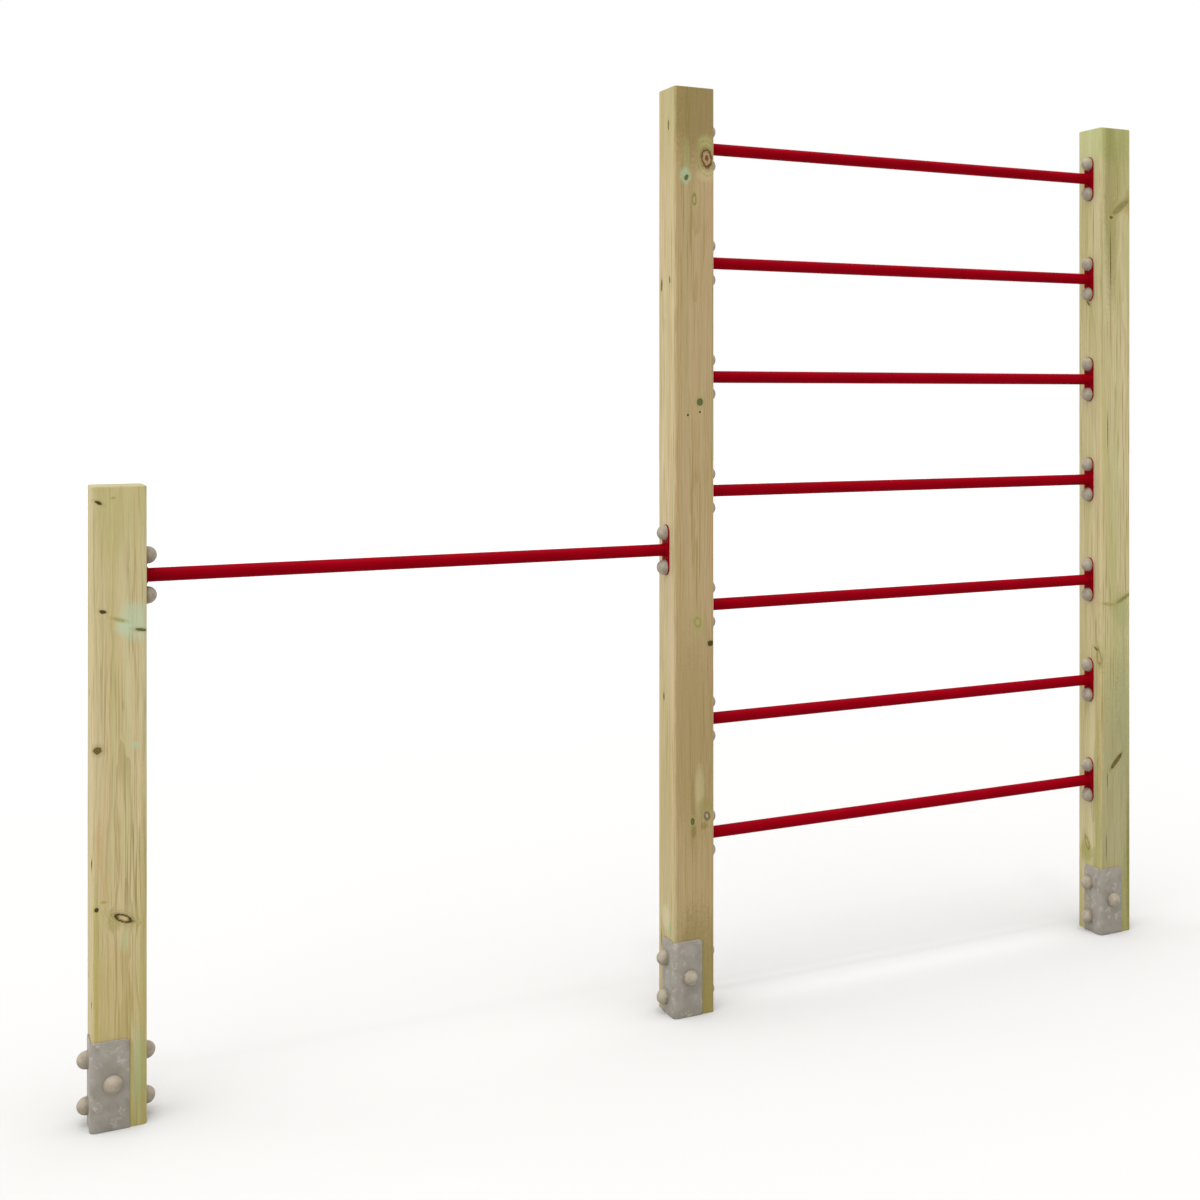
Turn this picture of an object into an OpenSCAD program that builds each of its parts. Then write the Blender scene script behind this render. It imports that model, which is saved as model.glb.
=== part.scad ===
// Monkey bars for a playground: a low turning bar and a climbing frame of seven rungs,
// carried by three square timber posts in one row.
// X runs along the row, Y through it, and Z is up. The origin is on the ground under the middle post.

/* [Posts] */
// Side of a square timber post
post_w = 100; // [95:1:115]
// Radius of the four long edges of a post
post_edge_r = 8; // [4:1:12]
// Distance between the middles of neighbouring posts
post_pitch = 1217; // [900:1:1600]
// Height of the short post that holds the low bar
short_post_h = 1255; // [1180:5:1400]
// Height of the middle post and the end post
tall_post_h = 2145; // [2120:5:2400]

/* [Bars] */
// Outside diameter of a bar
bar_d = 28; // [25:1:32]
// Wall thickness of a bar
bar_wall = 2.5; // [1.5:0.5:3.5]
// Height of the middle of the low bar
low_bar_z = 1074; // [1060:1:1090]
// Height of the middle of the lowest rung
first_rung_z = 404; // [380:1:410]
// Distance between the middles of neighbouring rungs
rung_pitch = 268; // [260:1:275]
// Leg of the weld bead round the end of a bar
weld_leg = 4; // [2:0.5:4.5]

/* [Flanges] */
// Width of a flange plate
flange_w = 38; // [38:1:44]
// Thickness of a flange plate
flange_t = 3; // [3:0.5:6]
// Distance between the two screw holes of a flange plate
flange_hole_pitch = 80; // [74:1:90]

/* [Anchors] */
// Height of an anchor plate above the ground
anchor_h = 175; // [160:1:220]
// Reach of an anchor plate across a post face
anchor_reach = 68; // [68:1:85]
// Thickness of an anchor plate
anchor_t = 3; // [3:0.5:6]
// Radius of the free top corners of an anchor plate
anchor_corner_r = 10; // [4:1:16]
// Height of the lower side bolt
side_bolt_low_z = 38; // [25:1:45]
// Height of the upper side bolt
side_bolt_high_z = 128; // [125:1:140]
// Height of the front bolt
front_bolt_z = 90; // [80:1:100]
// Distance of the front bolt from the left face of its post
front_bolt_x = 38; // [34:1:48]

/* [Fasteners] */
// Thread diameter of the coach screws and bolts
thread_d = 10; // [8:1:10]
// Length of a coach screw under its head
coach_screw_l = 70; // [60:5:80]
// Diameter of a clearance hole
clearance_d = 11; // [10.5:0.5:12]
// Distance across the flats of a screw head and a nut
hex_across_flats = 17; // [15:1:17]
// Height of a screw head
hex_head_h = 6.4; // [5:0.2:7]
// Height of a nut
nut_h = 8; // [6:0.5:8]
// Outside diameter of a steel washer
washer_d = 21; // [20:1:24]
// Thickness of a steel washer
washer_t = 2; // [1.5:0.5:2.5]

/* [Caps] */
// Diameter of a cap's base
cap_d = 36; // [34:1:38]
// Height of a cap over the face that it sits on
cap_h = 20; // [20:0.5:24]
// Wall thickness of a cap's cover
cap_wall = 2; // [1.5:0.5:2]
// Thickness of the floor of a cap's base
cap_floor_t = 2; // [1.5:0.5:2]
// Height of the ring on a cap's base that its cover snaps on to
cap_ring_h = 2.5; // [2:0.5:3]

/* [Hidden] */
$fn = 64;
rung_count = 7;
half_post = post_w / 2;
short_post_x = -post_pitch;
middle_post_x = 0;
end_post_x = post_pitch;
rung_heights = [for (i = [1:rung_count]) first_rung_z + (i - 1) * rung_pitch];
side_bolt_heights = [side_bolt_low_z, side_bolt_high_z];

// How far a drill or a cutter runs past the face that it cuts
past = 1;
// Clearance of a screw or bolt in the hole that it fits
fit_gap = 0.1;
thread_r = thread_d / 2;
pilot_r = thread_r + fit_gap;
clearance_r = clearance_d / 2;
screw_tip_l = 6;
// Length of bolt that stands out of its nut
bolt_end = 3;
// Height of a screw head's underside over the face that its cap sits on
head_seat = cap_floor_t + washer_t;

cover_lip = 0.5;
cover_r = cap_d / 2 - cover_lip;
cover_centre_z = cap_h - cover_r;
// Clearance between a cover and the ring that it snaps on to
snap_gap = 0.3;
cap_ring_r = cover_r - cap_wall - snap_gap;
cap_ring_wall = 2;

timber = "#c9b98a";
red_paint = "#96000c";
zinc = "#9c9a92";
bright_zinc = "#b9bcc0";
cap_beige = "#b4a898";

POST_NAMES = ["short_post", "middle_post", "end_post"];
BAR_NAMES = ["low_bar", for (i = [1:rung_count]) str("rung_", i)];
SCREW_GROUPS = ["short_post", "middle_post_left", "middle_post_right", "end_post"];

// ---- Places ----

// Puts children on a post's face, at a height, with their Z axis pointing out of the face.
module on_face(face, post_x, z, across = 0) {
    if (face == "right")
        translate([post_x + half_post, across, z]) rotate([0, 90, 0]) children();
    if (face == "left")
        translate([post_x - half_post, across, z]) rotate([0, -90, 0]) children();
    if (face == "front")
        translate([post_x + across, -half_post, z]) rotate([90, 0, 0]) children();
    if (face == "back")
        translate([post_x + across, half_post, z]) rotate([-90, 0, 0]) children();
}

// Puts children at both screw holes of each flange on a post's face.
module at_flange_holes(face, post_x, heights) {
    for (z = heights, side = [-1, 1])
        on_face(face, post_x, z + side * flange_hole_pitch / 2) children();
}

// Puts children at the screw holes of one group of flanges.
module at_screw_group(group) {
    if (group == "short_post") at_flange_holes("right", short_post_x, [low_bar_z]) children();
    if (group == "middle_post_left") at_flange_holes("left", middle_post_x, [low_bar_z]) children();
    if (group == "middle_post_right") at_flange_holes("right", middle_post_x, rung_heights) children();
    if (group == "end_post") at_flange_holes("left", end_post_x, rung_heights) children();
}

// Puts children at the head end of each side bolt, on the left face of every post.
module at_side_bolt_heads() {
    for (x = [short_post_x, middle_post_x, end_post_x], z = side_bolt_heights)
        on_face("left", x, z) children();
}

// Puts children at the nut end of each side bolt, on the right face of every post.
module at_side_bolt_nuts() {
    for (x = [short_post_x, middle_post_x, end_post_x], z = side_bolt_heights)
        on_face("right", x, z) children();
}

// Puts children at the head end of each front bolt.
module at_front_bolt_heads() {
    for (x = [short_post_x, middle_post_x, end_post_x])
        on_face("front", x, front_bolt_z, front_bolt_x - half_post) children();
}

// Puts children at the nut end of each front bolt.
module at_front_bolt_nuts() {
    for (x = [short_post_x, middle_post_x, end_post_x])
        on_face("back", x, front_bolt_z, front_bolt_x - half_post) children();
}

// Puts children at all the bolt heads, which sit on the anchor plates.
module at_bolt_heads() {
    at_side_bolt_heads() translate([0, 0, anchor_t]) children();
    at_front_bolt_heads() translate([0, 0, anchor_t]) children();
}

// Puts children at all the nuts, which sit on the bare timber.
module at_bolt_nuts() {
    at_side_bolt_nuts() children();
    at_front_bolt_nuts() children();
}

// ---- Posts ----

// Square outline with rounded corners, centred on the origin.
module rounded_square(side, r) {
    square([side, side - 2 * r], center = true);
    square([side - 2 * r, side], center = true);
    for (x = [-1, 1], y = [-1, 1])
        translate([x * (side / 2 - r), y * (side / 2 - r)]) circle(r);
}

// Blind hole that a coach screw cuts for itself, down from a post's face.
module screw_hole() {
    depth = coach_screw_l - flange_t - head_seat - screw_tip_l;
    translate([0, 0, -depth]) cylinder(r = pilot_r, h = depth + past);
    translate([0, 0, -depth - screw_tip_l]) cylinder(r1 = fit_gap, r2 = pilot_r, h = screw_tip_l);
}

// One post with its bolt holes; children are the screw holes to cut as well.
module post(x, height) {
    color(timber) difference() {
        translate([x, 0, 0]) linear_extrude(height) rounded_square(post_w, post_edge_r);
        for (z = side_bolt_heights)
            on_face("left", x, z)
                translate([0, 0, -post_w - past]) cylinder(r = clearance_r, h = post_w + 2 * past);
        on_face("front", x, front_bolt_z, front_bolt_x - half_post)
            translate([0, 0, -post_w - past]) cylinder(r = clearance_r, h = post_w + 2 * past);
        children();
    }
}

module short_post() {
    post(short_post_x, short_post_h) at_screw_group("short_post") screw_hole();
}

module middle_post() {
    post(middle_post_x, tall_post_h) {
        at_screw_group("middle_post_left") screw_hole();
        at_screw_group("middle_post_right") screw_hole();
    }
}

module end_post() {
    post(end_post_x, tall_post_h) at_screw_group("end_post") screw_hole();
}

// ---- Bars ----

// Tube between the two flanges of a bar; left_x is the middle of the post on its left.
module bar_tube(left_x, z) {
    length = post_pitch - post_w - 2 * flange_t;
    color(red_paint) on_face("right", left_x, z) translate([0, 0, flange_t])
        linear_extrude(length) difference() {
            circle(bar_d / 2);
            circle(bar_d / 2 - bar_wall);
        }
}

// Plate with round ends and a screw hole in each end, lying on a post's face.
module flange(face, post_x, z) {
    color(red_paint) on_face(face, post_x, z) linear_extrude(flange_t) difference() {
        union() {
            square([flange_hole_pitch, flange_w], center = true);
            for (end = [-1, 1]) translate([end * flange_hole_pitch / 2, 0]) circle(flange_w / 2);
        }
        for (end = [-1, 1]) translate([end * flange_hole_pitch / 2, 0]) circle(clearance_r);
    }
}

// Fillet weld between a bar and its flange.
module weld_bead(face, post_x, z) {
    color(red_paint) on_face(face, post_x, z) translate([0, 0, flange_t])
        rotate_extrude() translate([bar_d / 2, 0]) polygon([[0, 0], [weld_leg, 0], [0, weld_leg]]);
}

module low_bar_welds() {
    weld_bead("right", short_post_x, low_bar_z);
    weld_bead("left", middle_post_x, low_bar_z);
}

module rung_welds() {
    for (z = rung_heights) {
        weld_bead("right", middle_post_x, z);
        weld_bead("left", end_post_x, z);
    }
}

// ---- Fasteners ----

// Hexagonal prism measured across its flats.
module hex_prism(height) {
    cylinder(r = hex_across_flats / 2 / cos(30), h = height, $fn = 6);
}

// Hex-headed wood screw; the top of its flange plate is flange_t over the post's face.
module coach_screw() {
    shank = coach_screw_l - screw_tip_l;
    color(bright_zinc) translate([0, 0, flange_t + head_seat]) {
        hex_prism(hex_head_h);
        translate([0, 0, -shank]) cylinder(r = thread_r, h = shank);
        translate([0, 0, -coach_screw_l]) cylinder(r1 = fit_gap, r2 = thread_r, h = screw_tip_l);
    }
}

// Hex-headed bolt from the face of an anchor plate, right through its post and its nut.
module through_bolt() {
    length = head_seat + anchor_t + post_w + head_seat + nut_h + bolt_end;
    color(bright_zinc) translate([0, 0, head_seat]) {
        hex_prism(hex_head_h);
        translate([0, 0, -length]) cylinder(r = thread_r, h = length);
    }
}

module nut() {
    color(bright_zinc) translate([0, 0, head_seat]) difference() {
        hex_prism(nut_h);
        translate([0, 0, -past]) cylinder(r = pilot_r, h = nut_h + 2 * past);
    }
}

// Steel washer on the floor of a cap's base.
module washer() {
    color(bright_zinc) translate([0, 0, cap_floor_t]) linear_extrude(washer_t) difference() {
        circle(washer_d / 2);
        circle(clearance_r);
    }
}

// Base of a cap: a floor that the washer clamps, with a ring that holds the cover.
module cap_base() {
    color(cap_beige) rotate_extrude() {
        translate([clearance_r, 0]) square([cap_d / 2 - clearance_r, cap_floor_t]);
        translate([cap_ring_r - cap_ring_wall, 0]) square([cap_ring_wall, cap_floor_t + cap_ring_h]);
    }
}

// Half outline of a dome on a short straight skirt.
module dome_outline(r, foot_z) {
    translate([0, foot_z]) square([r, cover_centre_z - foot_z]);
    intersection() {
        translate([0, cover_centre_z]) circle(r);
        translate([0, cover_centre_z]) square(r);
    }
}

// Hollow domed cover that snaps on to a cap's base.
module cap_cover() {
    color(cap_beige) rotate_extrude() difference() {
        dome_outline(cover_r, cap_floor_t);
        dome_outline(cover_r - cap_wall, cap_floor_t - past);
    }
}

// ---- Anchors ----

// Cutter that rounds the free top corner of an anchor leg; the leg runs along X, its face along Y.
module corner_cutter() {
    translate([-anchor_corner_r, -past, -anchor_corner_r]) difference() {
        cube([anchor_corner_r + past, anchor_t + 2 * past, anchor_corner_r + past]);
        rotate([-90, 0, 0]) translate([0, 0, -past]) cylinder(r = anchor_corner_r, h = anchor_t + 4 * past);
    }
}

// Angle plate round the front left edge of a post.
module anchor(x) {
    outer = half_post + anchor_t;
    leg_end = anchor_reach - half_post;
    color(zinc) translate([x, 0, 0]) difference() {
        linear_extrude(anchor_h) intersection() {
            difference() {
                rounded_square(2 * outer, post_edge_r + anchor_t);
                rounded_square(post_w, post_edge_r);
            }
            translate([-outer, -outer]) square(anchor_reach + anchor_t);
        }
        translate([leg_end, -outer, anchor_h]) corner_cutter();
        translate([-half_post, leg_end, anchor_h]) rotate([0, 0, 90]) corner_cutter();
        for (z = side_bolt_heights)
            on_face("left", 0, z) translate([0, 0, -past]) cylinder(r = clearance_r, h = anchor_t + 2 * past);
        on_face("front", 0, front_bolt_z, front_bolt_x - half_post)
            translate([0, 0, -past]) cylinder(r = clearance_r, h = anchor_t + 2 * past);
    }
}

// ---- Assembly ----

short_post();
middle_post();
end_post();

bar_tube(short_post_x, low_bar_z);  // low_bar_tube
flange("right", short_post_x, low_bar_z);  // low_bar_left_flange
flange("left", middle_post_x, low_bar_z);  // low_bar_right_flange
low_bar_welds();

for (i = [1:rung_count]) {
    name = BAR_NAMES[i];
    z = rung_heights[i - 1];
    bar_tube(middle_post_x, z);
    flange("right", middle_post_x, z);
    flange("left", end_post_x, z);
}
rung_welds();

for (group = SCREW_GROUPS) {
    at_screw_group(group) coach_screw();
    at_screw_group(group) translate([0, 0, flange_t]) washer();
    at_screw_group(group) translate([0, 0, flange_t]) cap_base();
    at_screw_group(group) translate([0, 0, flange_t]) cap_cover();
}

anchor(short_post_x);  // short_post_anchor
anchor(middle_post_x);  // middle_post_anchor
anchor(end_post_x);  // end_post_anchor

at_side_bolt_heads() translate([0, 0, anchor_t]) through_bolt();  // anchor_side_bolts
at_front_bolt_heads() translate([0, 0, anchor_t]) through_bolt();  // anchor_front_bolts
at_bolt_nuts() nut();  // anchor_bolt_nuts
union() {  // anchor_bolt_washers
    at_bolt_heads() washer();
    at_bolt_nuts() washer();
}
union() {  // anchor_cap_bases
    at_bolt_heads() cap_base();
    at_bolt_nuts() cap_base();
}
union() {  // anchor_cap_covers
    at_bolt_heads() cap_cover();
    at_bolt_nuts() cap_cover();
}
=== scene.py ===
import functools
import math
import random

import bmesh
import bpy
import numpy as np
from mathutils import Matrix, Vector, noise


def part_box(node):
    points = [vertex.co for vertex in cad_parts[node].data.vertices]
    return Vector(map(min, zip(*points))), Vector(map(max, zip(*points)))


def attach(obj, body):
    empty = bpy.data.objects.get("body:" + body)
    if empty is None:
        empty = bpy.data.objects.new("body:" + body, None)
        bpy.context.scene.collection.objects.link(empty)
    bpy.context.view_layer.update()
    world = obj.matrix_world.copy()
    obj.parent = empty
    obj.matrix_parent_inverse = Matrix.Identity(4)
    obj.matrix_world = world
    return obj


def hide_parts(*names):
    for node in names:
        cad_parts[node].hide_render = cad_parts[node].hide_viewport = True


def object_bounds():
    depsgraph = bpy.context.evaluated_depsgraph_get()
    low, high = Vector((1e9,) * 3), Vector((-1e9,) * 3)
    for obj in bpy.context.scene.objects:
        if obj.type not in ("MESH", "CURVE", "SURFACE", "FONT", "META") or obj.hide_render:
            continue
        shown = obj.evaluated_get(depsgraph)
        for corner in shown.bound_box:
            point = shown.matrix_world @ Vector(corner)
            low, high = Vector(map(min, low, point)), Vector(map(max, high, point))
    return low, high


# Looks for a row of playground monkey bars: three timber posts, a low turning bar and a ladder of
# seven rungs. X runs along the row, the front faces -Y and Z is up. Lengths are in metres, except
# where a name or a comment says millimetres.

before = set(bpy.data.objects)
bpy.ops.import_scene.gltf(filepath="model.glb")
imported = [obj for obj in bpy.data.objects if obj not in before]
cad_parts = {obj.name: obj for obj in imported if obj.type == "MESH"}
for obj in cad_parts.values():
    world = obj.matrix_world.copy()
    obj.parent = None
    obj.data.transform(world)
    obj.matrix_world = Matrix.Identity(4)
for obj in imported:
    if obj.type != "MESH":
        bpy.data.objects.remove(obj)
cad_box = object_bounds()

MM = 0.001
UP = Vector((0, 0, 1))
POSTS = ("short_post", "middle_post", "end_post")
BARS = ("low_bar", "rung_1", "rung_2", "rung_3", "rung_4", "rung_5", "rung_6", "rung_7")
SCREW_GROUPS = ("short_post", "middle_post_left", "middle_post_right", "end_post")


# ---- Shader nodes ----

def srgb(red, green, blue):
    """Linear colour of a display colour whose channels run from 0 to 255."""
    def linear(channel):
        share = channel / 255
        return share / 12.92 if share <= 0.04045 else ((share + 0.055) / 1.055) ** 2.4
    return (linear(red), linear(green), linear(blue), 1.0)


class Flow:
    """A value that flows between shader nodes; arithmetic on it adds math nodes."""

    def __init__(self, nodes, socket):
        self.nodes = nodes
        self.socket = socket

    def __add__(self, other):
        return self.nodes.math("ADD", self, other)

    def __sub__(self, other):
        return self.nodes.math("SUBTRACT", self, other)

    def __mul__(self, other):
        return self.nodes.math("MULTIPLY", self, other)

    def __truediv__(self, other):
        return self.nodes.math("DIVIDE", self, other)

    def __rsub__(self, other):
        return self.nodes.math("SUBTRACT", other, self)

    __radd__ = __add__
    __rmul__ = __mul__

    def squared(self):
        return self * self

    def root(self):
        return self.nodes.math("SQRT", self)

    def falloff(self):
        """e to the power of minus this number."""
        return self.nodes.math("EXPONENT", self * -1.0)

    def steps(self, low, high, start=0.0, end=1.0):
        """Smooth step from start, at low, to end, at high."""
        values = (self, low, high, start, end)
        return self.nodes.filled("ShaderNodeMapRange", *values, interpolation_type="SMOOTHSTEP")


class Nodes:
    """A node tree that is built with short calls; numbers, colours and flows go in."""

    def __init__(self, tree):
        self.tree = tree

    def node(self, kind, **settings):
        made = self.tree.nodes.new(kind)
        for key, value in settings.items():
            setattr(made, key, value)
        return made

    def feed(self, socket, value):
        if isinstance(value, Flow):
            self.tree.links.new(value.socket, socket)
        else:
            socket.default_value = value

    def filled(self, kind, *values, **settings):
        """Adds a node, feeds its inputs in order and returns its first output."""
        made = self.node(kind, **settings)
        for socket, value in zip(made.inputs, values):
            self.feed(socket, value)
        return Flow(self, made.outputs[0])

    def math(self, operation, *values):
        return self.filled("ShaderNodeMath", *values, operation=operation)

    def vector(self, x, y, z):
        return self.filled("ShaderNodeCombineXYZ", x, y, z)

    def separated(self, vector):
        made = self.node("ShaderNodeSeparateXYZ")
        self.feed(made.inputs[0], vector)
        return [Flow(self, socket) for socket in made.outputs]

    def noise(self, vector, detail=2.0, roughness=0.5):
        made = self.node("ShaderNodeTexNoise")
        self.feed(made.inputs["Vector"], vector)
        made.inputs["Scale"].default_value = 1.0
        made.inputs["Detail"].default_value = detail
        made.inputs["Roughness"].default_value = roughness
        return Flow(self, made.outputs[0])

    def even_noise(self, place, size, detail=2.0):
        """Noise with features of about one size in every direction."""
        return self.noise(self.vector(*(axis / size for axis in place)), detail)

    def mix(self, factor, first, second, blend="MIX"):
        """Colour between first, at factor 0, and second, at factor 1."""
        made = self.node("ShaderNodeMix", data_type="RGBA", blend_type=blend)
        for index, value in ((0, factor), (6, first), (7, second)):
            self.feed(made.inputs[index], value)
        return Flow(self, made.outputs[2])

    def use(self, group, **values):
        """Adds a node group and returns its outputs."""
        made = self.node("ShaderNodeGroup", node_tree=group)
        for key, value in values.items():
            self.feed(made.inputs[key], value)
        return [Flow(self, socket) for socket in made.outputs]


class Shader(Nodes):
    """A material with one principled surface."""

    def __init__(self, name):
        self.material = bpy.data.materials.new(name)
        self.material.use_nodes = True
        super().__init__(self.material.node_tree)
        self.tree.nodes.clear()
        self.surface = self.node("ShaderNodeBsdfPrincipled")
        output = self.node("ShaderNodeOutputMaterial")
        self.tree.links.new(self.surface.outputs[0], output.inputs["Surface"])

    def millimetres(self):
        """The three object coordinates, in millimetres."""
        scaled = self.node("ShaderNodeVectorMath", operation="SCALE")
        self.tree.links.new(self.node("ShaderNodeTexCoord").outputs["Object"], scaled.inputs[0])
        scaled.inputs["Scale"].default_value = 1000
        return self.separated(Flow(self, scaled.outputs[0]))

    def bump(self, height, distance):
        """Bump from a height between 0 and 1 that stands for distance."""
        made = self.node("ShaderNodeBump")
        self.feed(made.inputs["Height"], height)
        made.inputs["Distance"].default_value = distance
        return Flow(self, made.outputs[0])

    def finish(self, colour, roughness, normal=None, **constants):
        """Joins the looks to the surface; constants are set on the shader's own sockets."""
        self.feed(self.surface.inputs["Base Color"], colour)
        self.feed(self.surface.inputs["Roughness"], roughness)
        if normal is not None:
            self.feed(self.surface.inputs["Normal"], normal)
        for key, value in constants.items():
            self.surface.inputs[key.replace("_", " ")].default_value = value
        return self.material


def group(name, colours, numbers, outputs, build):
    """Node group: colours and numbers name its inputs, and build(nodes, inputs) gives its outputs."""
    tree = bpy.data.node_groups.new(name, "ShaderNodeTree")
    for key in colours:
        tree.interface.new_socket(name=key, in_out="INPUT", socket_type="NodeSocketColor")
    for key in numbers:
        tree.interface.new_socket(name=key, in_out="INPUT", socket_type="NodeSocketFloat")
    for key, kind in outputs.items():
        tree.interface.new_socket(name=key, in_out="OUTPUT", socket_type=kind)
    nodes = Nodes(tree)
    source = nodes.node("NodeGroupInput")
    inputs = {key: Flow(nodes, source.outputs[key]) for key in (*colours, *numbers)}
    drain = nodes.node("NodeGroupOutput")
    for socket, value in zip(drain.inputs, build(nodes, inputs)):
        nodes.feed(socket, value)
    return tree


# ---- Timber ----

# Knots of each post: face, place across the face, height, half width, half height, slant in degrees
# and kind. Millimetres, with the place measured along +X or +Y from the middle of the post.
KNOTS = {
    "short_post": [
        ("front", -37, 1223, 6.5, 2.6, -28, "dark"),
        ("front", -11, 1232, 3, 1.6, 10, "faint"),
        ("front", -30, 1011, 5.5, 3.2, -15, "dark"),
        ("front", -1, 994, 9, 2.2, -18, "faint"),
        ("front", 39, 972, 9, 2.6, -8, "green"),
        ("front", -39, 742, 7, 6, -10, "olive"),
        ("front", -41, 433, 3.4, 4, 0, "dark"),
        ("front", -28, 446, 4, 1.6, 0, "faint"),
        ("front", 7, 410, 17, 6.6, -26, "ring"),
        ("left", -2, 849, 3, 7, 8, "dark"),
        ("left", -44, 519, 1.8, 9, 6, "dark"),
        ("left", 25, 287, 3, 5, 0, "olive"),
        ("left", -43, 248, 2, 7, 4, "dark"),
        ("right", 12, 420, 9, 8, 0, "ring"),
        ("right", -20, 905, 6, 5, 12, "olive"),
        ("back", -18, 735, 11, 9, 10, "eye"),
        ("back", 20, 1010, 6, 5, -14, "dark"),
        ("back", 4, 330, 8, 6, 0, "olive"),
    ],
    "middle_post": [
        ("front", 30, 1982, 12.5, 21, 6, "eye"),
        ("front", -21, 1935, 4, 6.5, -20, "green"),
        ("front", -1, 1886, 5, 13, 0, "loop"),
        ("front", 13, 1417, 6.5, 7.5, 0, "green"),
        ("front", 13, 1394, 2.2, 2.4, 0, "dark"),
        ("front", -17, 1387, 2.2, 2.6, 0, "dark"),
        ("front", 7, 908, 8, 11, 14, "faint"),
        ("front", 40, 857, 6.5, 6, 0, "dark"),
        ("front", 31, 457, 6.5, 10, 8, "violet"),
        ("front", -5, 449, 4.2, 7, 0, "green"),
        ("left", -12, 2059, 3, 11, 0, "olive"),
        ("left", 29, 1690, 4, 12, 6, "green"),
        ("left", -20, 1700, 3, 7, -8, "olive"),
        ("left", 15, 731, 3.2, 8, 0, "dark"),
        ("right", 22, 1560, 8, 10, 6, "ring"),
        ("right", -14, 1010, 6, 7, 0, "olive"),
        ("right", 8, 300, 9, 7, 0, "eye"),
        ("back", -16, 1905, 10, 11, -8, "ring"),
        ("back", 22, 1215, 7, 6, 12, "dark"),
        ("back", -6, 640, 10, 9, 0, "eye"),
    ],
    "end_post": [
        ("front", 16, 1936, 30, 8, 38, "smear"),
        ("front", -15, 1907, 5, 3.6, 0, "olive"),
        ("front", 26, 890, 26, 4.6, 28, "smear"),
        ("front", -24, 877, 15, 3, -8, "faint"),
        ("front", 2, 457, 25, 5.4, 46, "olive"),
        ("left", -41, 738, 7, 22, -8, "loop"),
        ("left", -29, 758, 7, 2.6, 30, "olive"),
        ("left", 4, 1679, 7, 2.6, 40, "olive"),
        ("left", 10, 232, 7, 18, -24, "loop"),
        ("right", -10, 1480, 9, 8, 0, "ring"),
        ("right", 18, 720, 7, 7, 10, "dark"),
        ("back", 12, 1700, 10, 9, -10, "eye"),
        ("back", -20, 1040, 8, 7, 0, "olive"),
        ("back", 6, 420, 11, 8, 8, "ring"),
    ],
}

# Heart, body and rim of each kind of knot, and how strong its body and its rim are.
KNOT_LOOKS = {
    "dark": (srgb(58, 44, 18), srgb(76, 60, 28), srgb(48, 38, 16), 1.0, 0.9),
    "faint": (srgb(146, 138, 86), srgb(148, 140, 86), srgb(112, 104, 52), 0.6, 0.5),
    "loop": (srgb(146, 134, 86), srgb(146, 134, 86), srgb(104, 92, 46), 0.1, 0.75),
    "green": (srgb(52, 68, 40), srgb(88, 98, 56), srgb(50, 60, 28), 0.9, 0.85),
    "olive": (srgb(82, 68, 28), srgb(104, 90, 44), srgb(66, 56, 22), 0.95, 0.85),
    "ring": (srgb(172, 154, 108), srgb(162, 142, 94), srgb(50, 40, 15), 1.0, 1.0),
    "eye": (srgb(100, 62, 38), srgb(172, 148, 106), srgb(80, 54, 27), 1.0, 1.0),
    "smear": (srgb(100, 90, 46), srgb(124, 114, 68), srgb(90, 82, 42), 0.75, 0.4),
    "violet": (srgb(150, 136, 118), srgb(126, 110, 92), srgb(84, 72, 58), 0.9, 0.9),
}

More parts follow.
